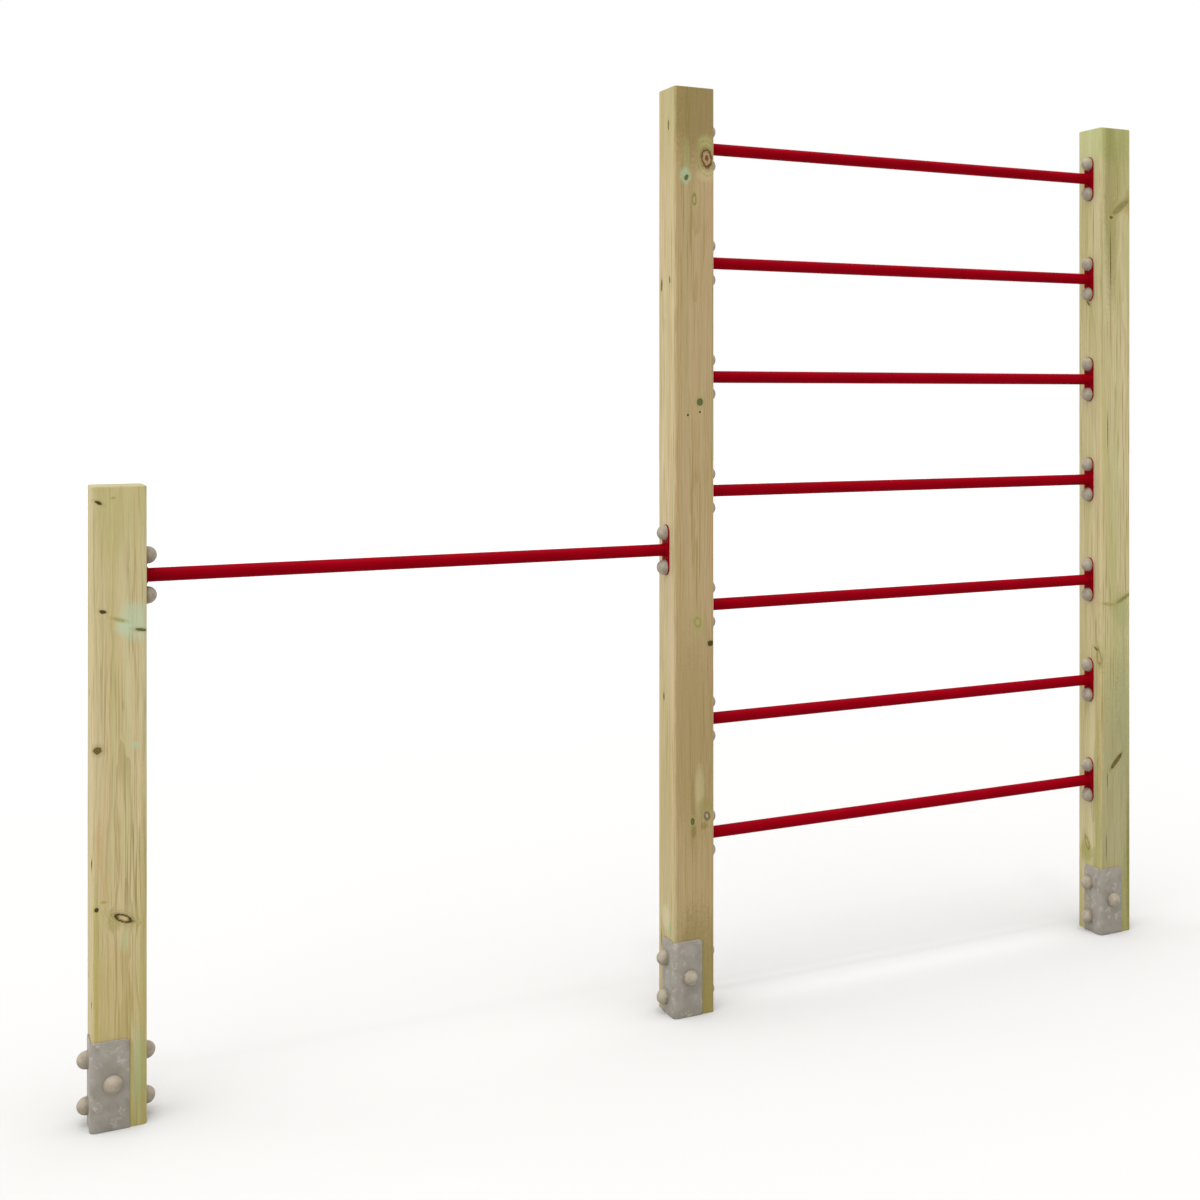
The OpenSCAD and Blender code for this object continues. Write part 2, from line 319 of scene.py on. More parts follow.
# Soft stains of each post: face, place across, height, half width, half height, colour and strength.
STAINS = {
    "short_post": [
        ("front", 0, 1235, 60, 120, srgb(156, 150, 96), 0.4),
        ("front", 26, 990, 30, 40, srgb(158, 176, 148), 0.6),
        ("front", 8, 978, 20, 14, srgb(160, 180, 152), 0.35),
        ("front", -10, 400, 14, 16, srgb(138, 130, 72), 0.45),
        ("front", 29, 746, 9, 7, srgb(146, 176, 146), 0.45),
        ("front", 8, 366, 7, 26, srgb(156, 166, 120), 0.5),
        ("front", -37, 559, 4, 60, srgb(172, 134, 84), 0.55),
        ("front", -26, 470, 4, 40, srgb(172, 138, 88), 0.4),
        ("front", 36, 112, 12, 90, srgb(148, 156, 116), 0.8),
        ("front", -9, 251, 50, 110, srgb(160, 140, 84), 0.35),
        ("front", 44, 301, 7, 420, srgb(146, 138, 74), 0.5),
        ("front", -42, 320, 5, 200, srgb(150, 140, 72), 0.6),
    ],
    "middle_post": [
        ("front", 0, 1078, 400, 4000, srgb(132, 106, 66), 0.5),
        ("front", 6, 2100, 80, 150, srgb(106, 90, 40), 0.6),
        ("left", 0, 2090, 60, 150, srgb(146, 138, 84), 0.45),
        ("left", 10, 520, 50, 330, srgb(150, 132, 80), 0.35),
        ("front", 0, 640, 70, 260, srgb(122, 106, 58), 0.35),
        ("front", -20, 1981, 8, 50, srgb(134, 138, 86), 0.5),
        ("front", 28, 2017, 20, 20, srgb(150, 152, 98), 0.55),
        ("front", -23, 1939, 14, 20, srgb(142, 164, 132), 0.8),
        ("front", 30, 1943, 26, 17, srgb(172, 154, 116), 0.7),
        ("front", -2, 428, 7, 20, srgb(106, 98, 42), 0.6),
        ("front", 24, 436, 10, 9, srgb(108, 98, 46), 0.55),
        ("front", 12, 520, 12, 60, srgb(172, 162, 122), 0.5),
        ("front", 27, 480, 22, 22, srgb(126, 120, 64), 0.5),
        ("front", 2, 62, 70, 190, srgb(104, 90, 44), 0.5),
        ("left", 29, 164, 3, 24, srgb(112, 56, 32), 0.9),
        ("left", -25, 199, 4, 18, srgb(104, 146, 92), 0.8),
        ("left", 4, 220, 22, 30, srgb(186, 178, 146), 0.5),
    ],
    "end_post": [
        ("front", 0, 2120, 70, 70, srgb(138, 144, 84), 0.6),
        ("left", 0, 2120, 70, 90, srgb(158, 166, 116), 0.55),
        ("front", 42, 1950, 14, 40, srgb(146, 118, 62), 0.6),
        ("front", -48, 1700, 6, 300, srgb(112, 104, 50), 0.45),
        ("front", -17, 1971, 22, 330, srgb(110, 104, 44), 0.5),
        ("front", 21, 2051, 30, 110, srgb(132, 130, 76), 0.5),
        ("front", 21, 857, 30, 50, srgb(132, 142, 90), 0.5),
        ("front", 26, 599, 26, 240, srgb(130, 138, 92), 0.5),
        ("front", 0, 300, 80, 420, srgb(126, 124, 88), 0.55),
        ("front", 45, 151, 12, 230, srgb(102, 104, 38), 0.7),
        ("left", -34, 330, 12, 260, srgb(132, 130, 58), 0.5),
        ("left", 12, 209, 26, 34, srgb(126, 128, 56), 0.7),
        ("left", 51, 175, 8, 30, srgb(150, 92, 40), 0.6),
        ("left", -48, 502, 6, 220, srgb(160, 136, 70), 0.5),
        ("left", -46, 1196, 8, 500, srgb(176, 160, 116), 0.4),
    ],
}

# Drying checks of each post: face, place across, lowest point, highest point, width and depth.
CHECKS = {
    "short_post": [
        ("back", -8, 820, 1265, 1.3, 9),
        ("right", 16, 180, 470, 0.9, 6),
        ("left", -30, 1108, 1177, 0.5, 2),
    ],
    "middle_post": [
        ("left", 28, 156, 231, 0.9, 4),
        ("back", 10, 1480, 2160, 1.4, 10),
        ("right", -20, 700, 905, 0.8, 5),
        ("back", -26, 260, 520, 0.9, 6),
    ],
    "end_post": [
        ("front", -17, 1714, 1870, 1.7, 8),
        ("front", -27, 1285, 1396, 1.3, 6),
        ("front", -32, 191, 279, 1.4, 6),
        ("front", -28, 388, 432, 1.2, 5),
        ("left", -29, 765, 855, 1.2, 5),
        ("back", 6, 900, 1420, 1.2, 8),
        ("right", 8, 1700, 2160, 1.2, 8),
    ],
}

# Place of the pith, in millimetres from the middle of the post, its lean, in millimetres per metre,
# a seed, and the post's three tones: plain, warm and olive.
GROWTH = {
    "short_post": (
        (14, 26), (-9, 7), 11.0,
        (srgb(175, 164, 126), srgb(178, 160, 122), srgb(160, 151, 98)),
    ),
    "middle_post": (
        (-12, 18), (8, -6), 37.0,
        (srgb(178, 164, 130), srgb(178, 156, 120), srgb(164, 154, 108)),
    ),
    "end_post": (
        (10, -22), (5, 9), 71.0,
        (srgb(174, 165, 128), srgb(176, 162, 124), srgb(152, 146, 92)),
    ),
}

LATEWOOD = srgb(124, 107, 54)
# Painted shade: a dark tint laid along each drying check, darkening the crack and its edges.
PAINTED_CHECK_SHADE = srgb(92, 80, 42)
ARRIS_WEAR_AND_HIGHLIGHT = srgb(190, 180, 142)
FOOT_GREEN = srgb(130, 124, 60)
END_GRAIN = srgb(154, 146, 114)
RING_WIDTH = 3.4
HALF_POST = 50.0


def push_nodes(nodes, given):
    """How far a knot pushes the grain aside."""
    sideways = given["across"] - given["place"]
    upwards = given["z"] - given["height"]
    across = sideways / given["spread_across"]
    along = upwards / given["spread_along"]
    reach = across.squared() + along.squared()
    return [sideways * reach.falloff() * given["gate"] * 0.8]


def stain_and_shade_nodes(nodes, given):
    """Lays a soft ragged mark over a colour; it draws each stain and the painted shade along each drying
    check.
    """
    sideways = (given["across"] - given["place"]) / given["half_width"]
    upwards = (given["z"] - given["height"]) / given["half_height"]
    reach = sideways.squared() + upwards.squared() + given["ragged"] * 1.3
    amount = reach.steps(0.1, 1.5, 1.0, 0.0) * given["gate"] * given["strength"]
    return [nodes.mix(amount, given["colour"], given["tint"])]


def knot_nodes(nodes, given):
    """Lays a knot over a colour: grain that wraps round it, a halo, its body, heart and rim."""
    sideways = given["across"] - given["place"]
    upwards = given["z"] - given["height"]
    along = (sideways * given["cosine"] + upwards * given["sine"]) / given["half_width"]
    over = (upwards * given["cosine"] - sideways * given["sine"]) / given["half_height"]
    plain = (along.squared() + over.squared()).root()
    distance = plain + given["ragged"] * 0.75
    gate = given["gate"]
    colour = nodes.mix(distance.steps(0.9, 3.0, 0.5, 0.0) * gate, given["colour"], given["halo"])
    wraps = nodes.math("PINGPONG", plain + given["ragged"] * 0.5, 0.28).steps(0.2, 0.28)
    wraps = wraps * plain.steps(1.0, 1.2) * plain.steps(1.3, 2.9, 1.0, 0.0) * given["wrap"]
    colour = nodes.mix(wraps * gate, colour, given["rim"])
    rings = nodes.math("FRACT", distance * 3.2).steps(0.2, 0.8, 0.0, 0.3)
    wood = nodes.mix(rings, given["body"], given["rim"])
    wood = nodes.mix(distance.steps(0.25, 0.55), given["heart"], wood)
    colour = nodes.mix(distance.steps(0.8, 1.15, 1.0, 0.0) * gate * given["body_strength"], colour, wood)
    edge = ((distance - 0.92) * 4.0).squared().falloff() * gate * given["rim_strength"]
    return [nodes.mix(edge, colour, given["rim"]), edge]


PLACE = ("across", "z", "gate", "place", "height")
PUSH = group(
    "push",
    (),
    (*PLACE, "spread_across", "spread_along"),
    {"push": "NodeSocketFloat"},
    push_nodes,
)
STAIN_AND_SHADE = group(
    "stain",
    ("colour", "tint"),
    (*PLACE, "ragged", "half_width", "half_height", "strength"),
    {"colour": "NodeSocketColor"},
    stain_and_shade_nodes,
)
KNOT = group(
    "knot",
    ("colour", "halo", "heart", "body", "rim"),
    (*PLACE, "ragged", "half_width", "half_height", "cosine", "sine", "wrap", "body_strength",
     "rim_strength"),
    {"colour": "NodeSocketColor", "edge": "NodeSocketFloat"},
    knot_nodes,
)


class Timber:
    """The nodes of one post's timber. Coordinates are millimetres from the post's foot."""

    def __init__(self, post):
        self.post = post
        self.shader = Shader(post + "_timber")
        self.x, self.y, self.z = self.shader.millimetres()
        self.pith, self.lean, self.seed, self.tones = GROWTH[post]
        self.depths = {
            "front": HALF_POST + self.y,
            "back": HALF_POST - self.y,
            "left": HALF_POST + self.x,
            "right": HALF_POST - self.x,
        }
        self.shallow = {face: depth.steps(0.0, 9.0, 1.0, 0.0) for face, depth in self.depths.items()}
        self.deep = {face: depth.steps(0.0, 20.0, 1.0, 0.0) for face, depth in self.depths.items()}
        self.ragged = self.stretched_noise(4.0, 6.0, detail=3.0) - 0.5

    def stretched_noise(self, across, along, detail=2.0, offset=0.0, roughness=0.5):
        """Noise with features about that many millimetres across and along the grain."""
        vector = self.shader.vector(
            self.x / across + (self.seed + offset), self.y / across + offset, self.z / along
        )
        return self.shader.noise(vector, detail, roughness)

    def spot(self, face, place, height, gates):
        """The inputs that tell a group where its mark is and how deep it reaches."""
        across = self.x if face in ("front", "back") else self.y
        return {"across": across, "z": self.z, "gate": gates[face], "place": place, "height": height}

    def bent_grain(self):
        """Coordinates across the grain, pushed apart so that the grain runs round each knot."""
        pushed = {"x": self.x, "y": self.y}
        for face, place, height, half_width, half_height, _slant, _kind in KNOTS[self.post]:
            axis = "x" if face in ("front", "back") else "y"
            push, = self.shader.use(
                PUSH,
                **self.spot(face, place, height, self.deep),
                spread_across=1.5 * half_width + 4.0,
                spread_along=2.0 * half_height + 16.0,
            )
            pushed[axis] = pushed[axis] - push
        return pushed["x"], pushed["y"]

    def ring_count(self):
        """How many growth rings lie between the pith and a point."""
        x, y = self.bent_grain()
        sway = self.stretched_noise(60.0, 420.0, offset=3.0) - 0.5
        swell = self.stretched_noise(26.0, 190.0, offset=9.0) - 0.5
        x = x - self.pith[0] - self.z * (self.lean[0] / 1000) + sway * 15.0
        y = y - self.pith[1] - self.z * (self.lean[1] / 1000) + swell * 8.0
        return (x.squared() + y.squared()).root() / RING_WIDTH

    def latewood(self, rings):
        """Dark latewood lines: each ring darkens slowly and ends sharply."""
        share = self.shader.math("FRACT", rings)
        line = share.steps(0.45, 0.95) * share.steps(0.96, 1.0, 1.0, 0.0)
        uneven = self.shader.noise(self.shader.vector(rings * 0.55, self.z / 900.0, self.seed), 1.0)
        return line * uneven.steps(0.34, 0.68, 0.1, 1.0)

    def clear_wood(self, line):
        """Colour of the timber between its knots."""
        shader = self.shader
        plain, warm, olive = self.tones
        bands = self.stretched_noise(14.0, 700.0, detail=3.0, offset=21.0).steps(0.34, 0.66)
        patches = self.stretched_noise(30.0, 500.0, detail=3.0, offset=33.0).steps(0.36, 0.72)
        colour = shader.mix(bands, plain, warm)
        colour = shader.mix(patches * 0.6, colour, olive)
        colour = shader.mix(line * 0.33, colour, LATEWOOD)
        busy = self.stretched_noise(34.0, 260.0, offset=18.0).steps(0.36, 0.62, 0.25, 1.0)
        threads = self.stretched_noise(3.0, 170.0, detail=1.0, offset=5.0).steps(0.54, 0.68)
        colour = shader.mix(threads * busy * 0.6, colour, LATEWOOD)
        fibres = self.stretched_noise(0.9, 45.0, detail=2.0, offset=14.0).steps(0.25, 0.75, 0.92, 1.07)
        return shader.mix(1.0, colour, shader.vector(fibres, fibres, fibres), "MULTIPLY")

    def stains_and_check_shade(self):
        """The post's stain table, with painted shade added along each drying check."""
        # Painted shade along each drying check, a little wider than the crack itself.
        edges = [
            (face, place, (low + high) / 2, 1.1 * width, 0.42 * (high - low), PAINTED_CHECK_SHADE, 0.75)
            for face, place, low, high, width, _depth in CHECKS[self.post]
        ]
        return STAINS[self.post] + edges

    def stained_and_check_shaded(self, colour):
        for face, place, height, half_width, half_height, tint, strength in self.stains_and_check_shade():
            colour, = self.shader.use(
                STAIN_AND_SHADE,
                **self.spot(face, place, height, self.shallow),
                colour=colour,
                tint=tint,
                ragged=self.ragged,
                half_width=half_width,
                half_height=half_height,
                strength=strength,
            )
        return colour

    def knotted(self, colour):
        """Adds the knots, and returns the colour and the height of their rims."""
        relief = None
        for face, place, height, half_width, half_height, slant, kind in KNOTS[self.post]:
            heart, body, rim, body_strength, rim_strength = KNOT_LOOKS[kind]
            colour, edge = self.shader.use(
                KNOT,
                **self.spot(face, place, height, self.deep),
                colour=colour,
                halo=KNOT_LOOKS["faint"][1],
                heart=heart,
                body=body,
                rim=rim,
                ragged=self.ragged,
                half_width=half_width,
                half_height=half_height,
                cosine=math.cos(math.radians(slant)),
                sine=math.sin(math.radians(slant)),
                wrap=0.45 if half_width > 6 else 0.0,
                body_strength=body_strength,
                rim_strength=rim_strength,
            )
            relief = edge if relief is None else self.shader.math("MAXIMUM", relief, edge)
        return colour, relief

    def end_grain(self, colour, line):
        """Darker sawn ends, with the growth rings clear on them."""
        place = self.shader.node("ShaderNodeTexCoord").outputs["Normal"]
        upright = self.shader.separated(Flow(self.shader, place))[2].steps(0.6, 0.9)
        pores = self.stretched_noise(1.2, 1.2, detail=2.0, offset=61.0).steps(0.4, 0.7, 0.0, 0.3)
        sawn = self.shader.mix(line * 0.7, END_GRAIN, LATEWOOD)
        sawn = self.shader.mix(pores, sawn, LATEWOOD)
        return self.shader.mix(upright, colour, sawn)

    def worn_and_highlit(self, colour):
        """A greener, darker foot, and paler arrises: partly rubbed wear, partly a painted highlight
        along the rounded corners.
        """
        level = self.z + self.stretched_noise(22.0, 70.0, offset=77.0) * 160.0
        damp = level.steps(60.0, 340.0, 0.5, 0.0)
        colour = self.shader.mix(damp, colour, FOOT_GREEN)
        corner = self.shader.math(
            "MINIMUM", self.shader.math("ABSOLUTE", self.x), self.shader.math("ABSOLUTE", self.y)
        )
        uneven = self.stretched_noise(9.0, 60.0, offset=88.0).steps(0.35, 0.6)
        # Paler band along every arris: partly rubbed wear, partly a painted highlight where the rounded
        # corners catch the light.
        rubbed = corner.steps(44.5, 49.0) * uneven
        return self.shader.mix(rubbed * 0.35, colour, ARRIS_WEAR_AND_HIGHLIGHT)

    def material(self):
        line = self.latewood(self.ring_count())
        colour = self.stained_and_check_shaded(self.clear_wood(line))
        colour, rims = self.knotted(colour)
        colour = self.end_grain(self.worn_and_highlit(colour), line)
        grain = self.stretched_noise(0.6, 40.0, detail=3.0, offset=14.0, roughness=0.65)
        height = grain * 0.55 + line * 0.3 + (1.0 - rims) * 0.35
        roughness = self.stretched_noise(8.0, 90.0, offset=51.0).steps(0.3, 0.7, 0.52, 0.68) + rims * 0.1
        return self.shader.finish(
            colour, roughness, self.shader.bump(height, 0.35 * MM), Specular_IOR_Level=0.14
        )


# ---- Other materials ----

def powder_coat():
    """Semi-gloss red powder coat with a fine orange peel, rubbed duller in patches."""
    shader = Shader("red_powder_coat_look")
    x, y, z = place = shader.millimetres()
    peel = shader.even_noise(place, 1.3)
    clouds = shader.noise(shader.vector(x / 90.0, y / 20.0, z / 20.0), 3.0)
    specks = shader.even_noise(place, 2.2, 1.0).steps(0.7, 0.76)
    colour = shader.mix(clouds.steps(0.3, 0.7), srgb(118, 0, 11), srgb(126, 0, 14))
    colour = shader.mix(specks * 0.25, colour, srgb(84, 0, 7))
    roughness = clouds.steps(0.3, 0.7, 0.34, 0.46) + specks * 0.1
    normal = shader.bump(peel, 0.06 * MM)
    return shader.finish(colour, roughness, normal, Specular_IOR_Level=0.01)


def cap_plastic():
    """Beige moulded plastic, a little mottled, with a fine satin texture."""
    shader = Shader("beige_plastic_look")
    place = shader.millimetres()
    grain = shader.even_noise(place, 0.7)
    mottle = shader.even_noise(place, 14.0, 3.0)
    colour = shader.mix(mottle.steps(0.35, 0.65), srgb(134, 124, 108), srgb(148, 139, 123))
    dust = shader.even_noise(place, 3.0, 3.0).steps(0.56, 0.72)
    colour = shader.mix(dust * 0.25, colour, srgb(112, 102, 84))
    roughness = mottle.steps(0.3, 0.7, 0.46, 0.58) + dust * 0.12
    return shader.finish(colour, roughness, shader.bump(grain, 0.05 * MM), Specular_IOR_Level=0.2)


def galvanised():
    """Hot-dip galvanised steel: dull grey spangle with paler patches and a few bright flecks."""
    shader = Shader("galvanised_look")
    x, y, z = place = shader.millimetres()
    bend = shader.even_noise(place, 8.0, 3.0) - 0.5
    cells = shader.node("ShaderNodeTexVoronoi")
    warped = (x / 11.0 + bend * 2.0, y / 11.0 + bend, z / 13.0 - bend * 1.7)
    shader.feed(cells.inputs["Vector"], shader.vector(*warped))
    cells.inputs["Scale"].default_value = 1.0
    shade = shader.node("ShaderNodeSeparateColor")
    shader.tree.links.new(cells.outputs["Color"], shade.inputs[0])
    spangle = Flow(shader, shade.outputs[0])
    warm = Flow(shader, shade.outputs[1])
    clouds = shader.even_noise(place, 26.0, 4.0)
    colour = shader.mix(spangle, srgb(127, 121, 111), srgb(140, 134, 124))
    colour = shader.mix(warm.steps(0.6, 1.0) * 0.5, colour, srgb(132, 129, 110))
    colour = shader.mix(clouds.steps(0.4, 0.65, 0.0, 0.7), colour, srgb(144, 138, 129))
    fleck = spangle.steps(0.78, 0.84) * (bend + 0.5).steps(0.44, 0.6)
    colour = shader.mix(fleck * 0.55, colour, srgb(170, 162, 152))
    roughness = spangle.steps(0.0, 1.0, 0.46, 0.62)
    height = spangle * 0.5 + clouds
    return shader.finish(colour, roughness, shader.bump(height, 0.12 * MM), Metallic=0.35)


def bright_zinc():
    """Zinc-plated fasteners, mostly under the caps, with faint turning marks."""
    shader = Shader("bright_zinc_look")
    x, y, z = place = shader.millimetres()
    marks = shader.noise(shader.vector(x / 0.4, y / 3.0, z / 3.0), 2.0)
    stain = shader.even_noise(place, 12.0, 3.0)
    colour = shader.mix(stain.steps(0.35, 0.65), srgb(176, 180, 184), srgb(200, 200, 196))
    roughness = marks.steps(0.3, 0.7, 0.28, 0.42)
    return shader.finish(colour, roughness, shader.bump(marks, 0.02 * MM), Metallic=1.0)


# ---- Meshes ----

def make_piece(name, material, replaced, verts, faces, sharp_degrees=35.0):
    """A shown mesh that stands for CAD nodes; it is closed, with its normals outwards."""
    mesh = bpy.data.meshes.new(name)
    mesh.from_pydata([tuple(v) for v in verts], [], faces)
    shape = bmesh.new()
    shape.from_mesh(mesh)
    bmesh.ops.remove_doubles(shape, verts=shape.verts, dist=0.002 * MM)
    bmesh.ops.recalc_face_normals(shape, faces=shape.faces)
    shape.to_mesh(mesh)
    shape.free()
    mesh.shade_smooth()
    mesh.set_sharp_from_angle(angle=math.radians(sharp_degrees))
    mesh.materials.append(material)
    piece = bpy.data.objects.new(name, mesh)
    bpy.context.scene.collection.objects.link(piece)
    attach(piece, "root")
    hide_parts(*replaced)
    return piece


def join(parts):
    """One list of vertices and faces from several."""
    verts = []
    faces = []
    for part_verts, part_faces in parts:
        start = len(verts)
        verts.extend(part_verts)
        faces.extend([tuple(start + i for i in face) for face in part_faces])
    return verts, faces


def placed(part, matrix):
    """The part's vertices moved by a matrix, and its faces."""
    verts, faces = part
    return [matrix @ Vector(v) for v in verts], faces


def seat_matrix(centre, outward):
    """Frame at a seat on a post: local Z points out of the face and local X points up."""
    sideways = outward.cross(UP)
    matrix = Matrix((UP, sideways, outward)).transposed().to_4x4()
    matrix.translation = centre
    return matrix


@functools.cache
def solids_of(node):
    """Lowest and highest corners of each separate solid of a CAD node."""
    shape = bmesh.new()
    shape.from_mesh(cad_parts[node].data)
    bmesh.ops.remove_doubles(shape, verts=shape.verts, dist=0.001 * MM)
    left = set(shape.verts)
    boxes = []
    while left:
        found = set()
        edge = [left.pop()]
        while edge:
            vert = edge.pop()
            found.add(vert)
            near = [e.other_vert(vert) for e in vert.link_edges]
            edge.extend(v for v in near if v in left)
            left.difference_update(near)
        places = np.array([v.co for v in found])
        boxes.append((Vector(places.min(0)), Vector(places.max(0))))
    shape.free()
    return sorted(boxes, key=lambda box: tuple(box[0]))


POST_BOXES = [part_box(post) for post in POSTS]


def post_at(x):
    """Box of the post nearest to a place along the row."""
    return min(POST_BOXES, key=lambda box: abs((box[0].x + box[1].x) / 2 - x))


def seat_of(box):
    """Seat of a round solid: the middle of the side that faces its post, and the way out."""
    centre = (box[0] + box[1]) / 2
    half = (box[1] - box[0]) / 2
    post = post_at(centre.x)
    away = centre - (post[0] + post[1]) / 2
    along_x = abs(away.x) > abs(away.y)
    if along_x:
        outward = Vector((math.copysign(1, away.x), 0, 0))
    else:
        outward = Vector((0, math.copysign(1, away.y), 0))
    depth = half.x if along_x else half.y
    return seat_matrix(centre - outward * depth, outward)


def lathe(profile, steps, ripple=None):
    """Turns a closed profile of (radius, height) points round local Z.

    ripple(angle) may scale a point's height and its distance out from the profile's first point."""
    verts = []
    for step in range(steps):
        angle = 2 * math.pi * step / steps
        scale = ripple(angle) if ripple else 1.0
        for radius, height in profile:
            grown = profile[0][0] + (radius - profile[0][0]) * scale
            verts.append((grown * math.cos(angle), grown * math.sin(angle), height * scale))
    count = len(profile)
    faces = []
    for step in range(steps):
        here = step * count
        there = (step + 1) % steps * count
        for i in range(count):
            j = (i + 1) % count
            on_axis = profile[i][0] == 0 and profile[j][0] == 0
            if not on_axis:
                faces.append((here + i, there + i, there + j, here + j))
    return verts, faces


def arc(centre, radius, start, end, steps):
    """Points of an arc in a plane; angles in degrees."""
    points = []
    for step in range(steps + 1):
        angle = math.radians(start + (end - start) * step / steps)
        points.append((centre[0] + radius * math.cos(angle), centre[1] + radius * math.sin(angle)))
    return points


def inset(loop, amount):
    """Moves a closed counter-clockwise loop inwards, along the mean of each corner's two normals."""
    moved = []
    count = len(loop)
    for i in range(count):
        before = Vector(loop[i]) - Vector(loop[i - 1])
        after = Vector(loop[(i + 1) % count]) - Vector(loop[i])
        normal = (before.normalized() + after.normalized()).orthogonal().normalized()
        moved.append(tuple(Vector(loop[i]) + normal * amount))
    return moved


def plate(outline, holes, thickness, edge_r):
    """Flat plate in local XY from 0 to thickness, with rounded edges.

    outline runs counter-clockwise and each hole clockwise, so that material is on their left."""
    shape = bmesh.new()
    caps = {"low": [], "high": []}
    quarter = [math.radians(a) for a in (0, 30, 60, 90)]
    low_edge = [(edge_r * (1 - math.sin(a)), edge_r * (1 - math.cos(a))) for a in quarter]
    high_edge = [(inward, thickness - height) for inward, height in reversed(low_edge)]
    low_first = sorted(low_edge, key=lambda point: point[1])
    high_last = sorted(high_edge, key=lambda point: point[1])
    for loop in [outline, *holes]:
        rows = []
        for inward, height in [*low_first, *high_last]:
            rows.append([shape.verts.new((x, y, height)) for x, y in inset(loop, inward)])
        for lower, upper in zip(rows, rows[1:]):
            for i in range(len(loop)):
                j = (i + 1) % len(loop)
                shape.faces.new((lower[i], lower[j], upper[j], upper[i]))
        for side, row in (("low", rows[0]), ("high", rows[-1])):
            caps[side].extend(shape.edges.get((row[i - 1], row[i])) for i in range(len(row)))
    for edges in caps.values():
        bmesh.ops.triangle_fill(shape, use_beauty=True, edges=edges)
    return shape


def taken(shape):
    """Vertices and faces of a bmesh, which is then freed."""
    shape.verts.index_update()
    verts = [v.co.copy() for v in shape.verts]
    faces = [tuple(v.index for v in face.verts) for face in shape.faces]
    shape.free()
    return verts, faces


def hole_loop(centre, radius):
    """Clockwise circle."""
    return arc(centre, radius, 360, 0, 32)[:-1]


# ---- Posts ----

ARRIS_R = 8.0
COLUMN_STEP = 3.5
ARRIS_STEPS = 5
ROW_STEP = 9.0
FINE_ROW_STEP = 2.2
TOP_CHAMFER = 1.6
CHECK_BLEND = 26.0
CHECK_DRIFT = 1.6
CHECK_DRIFT_LENGTH = 46
LEAST_HALF_CHECK = 0.12
PLANING = 0.12
KNOT_HOLLOW = 0.35
KNOT_GROOVE = 0.4
KNOT_GROOVE_WIDTH = 0.22


def post_columns():
    """Outline of a post, counter-clockwise: place, outward direction, face and place across it."""
    flat = HALF_POST - ARRIS_R
    count = round(2 * flat / COLUMN_STEP)
    columns = []
    turns = (("front", 0), ("right", 90), ("back", 180), ("left", 270))
    for face, turn in turns:
        spin = Matrix.Rotation(math.radians(turn), 2)
        outward = spin @ Vector((0, -1))
        for i in range(count + 1):
            place = spin @ Vector((-flat + 2 * flat * i / count, -HALF_POST))
            columns.append((place, outward, face))
        middle = spin @ Vector((flat, -flat))
        for i in range(1, ARRIS_STEPS):
            way = Matrix.Rotation(math.radians(90 * i / ARRIS_STEPS), 2) @ outward
            columns.append((middle + way * ARRIS_R, way, "arris"))
    return columns


def post_rows(post, height):
    """Heights of a post's rows, closer together beside its knots."""
    rows = set(np.arange(0, height, ROW_STEP).round(2))
    for _face, _place, middle, half_width, half_height, slant, _kind in KNOTS[post]:
        reach = max(half_height, abs(half_width * math.sin(math.radians(slant)))) * 1.5
        rows.update(np.arange(middle - reach, middle + reach, FINE_ROW_STEP).round(2))
    kept = [0.0]
    for row in sorted(rows):
        if row - kept[-1] > 0.6 * FINE_ROW_STEP and row < height - TOP_CHAMFER - 1.0:
            kept.append(float(row))
    return kept + [height - TOP_CHAMFER]


def across_of(place, face):
    return place.x if face in ("front", "back") else place.y


def knot_sink(post, face, across, z):
    """How far a knot has shrunk back under the planed face, with a groove round it."""
    sink = 0.0
    for knot_face, place, height, half_width, half_height, slant, kind in KNOTS[post]:
        if knot_face != face or kind == "faint":
            continue
        cosine = math.cos(math.radians(slant))
        sine = math.sin(math.radians(slant))
        sideways = across - place
        upwards = z - height
        along = (sideways * cosine + upwards * sine) / half_width
        over = (upwards * cosine - sideways * sine) / half_height
        distance = math.hypot(along, over)
        if distance < 1.5:
            sink += KNOT_HOLLOW * max(0.0, 1 - distance * distance)
            sink += KNOT_GROOVE * math.exp(-((distance - 1) / KNOT_GROOVE_WIDTH) ** 2)
    return sink


def check_opening(low, high, z, height):
    """How far open a check is at a height, from 0 to 1; one that reaches the top stays open there."""
    if not low < z < high:
        return 0.0
    share = (z - low) / (high - low)
    if high > height:
        return min(1.0, 1.25 * share) ** 0.7
    return math.sin(math.pi * share) ** 0.6


def cut_checks(post, columns, grid, rows, height):
    """Gathers three columns at each check and pushes the middle one into the post."""
    for order, (face, place, low, high, width, depth) in enumerate(CHECKS[post]):
        members = [i for i, column in enumerate(columns) if column[2] == face]
        middle = min(members, key=lambda i: abs(across_of(columns[i][0], face) - place))
        outward = columns[middle][1]
        along = Vector((1, 0)) if face in ("front", "back") else Vector((0, 1))
        sides = sorted((middle - 1, middle + 1), key=lambda i: across_of(columns[i][0], face))
        for row, z in enumerate(rows):
            if z < low - CHECK_BLEND or z > high + CHECK_BLEND:
                continue
            nearness = min(1.0, max(0.0, min(z - low, high - z) / CHECK_BLEND + 1))
            drift = CHECK_DRIFT * noise.noise(Vector((z / CHECK_DRIFT_LENGTH, order * 7.3, 0.5)))
            opening = check_opening(low, high, z, height)
            half = max(LEAST_HALF_CHECK, width / 2 * opening)
            centre = place + drift
            targets = (centre - half, centre, centre + half)
            for column, target in zip((sides[0], middle, sides[1]), targets):
                vert = grid[row][column]
                shift = (target - across_of(vert, face)) * nearness
                grid[row][column] = vert + Vector((along.x * shift, along.y * shift, 0))
            inward = outward * (-depth * opening)
            grid[row][middle] = grid[row][middle] + Vector((inward.x, inward.y, 0))


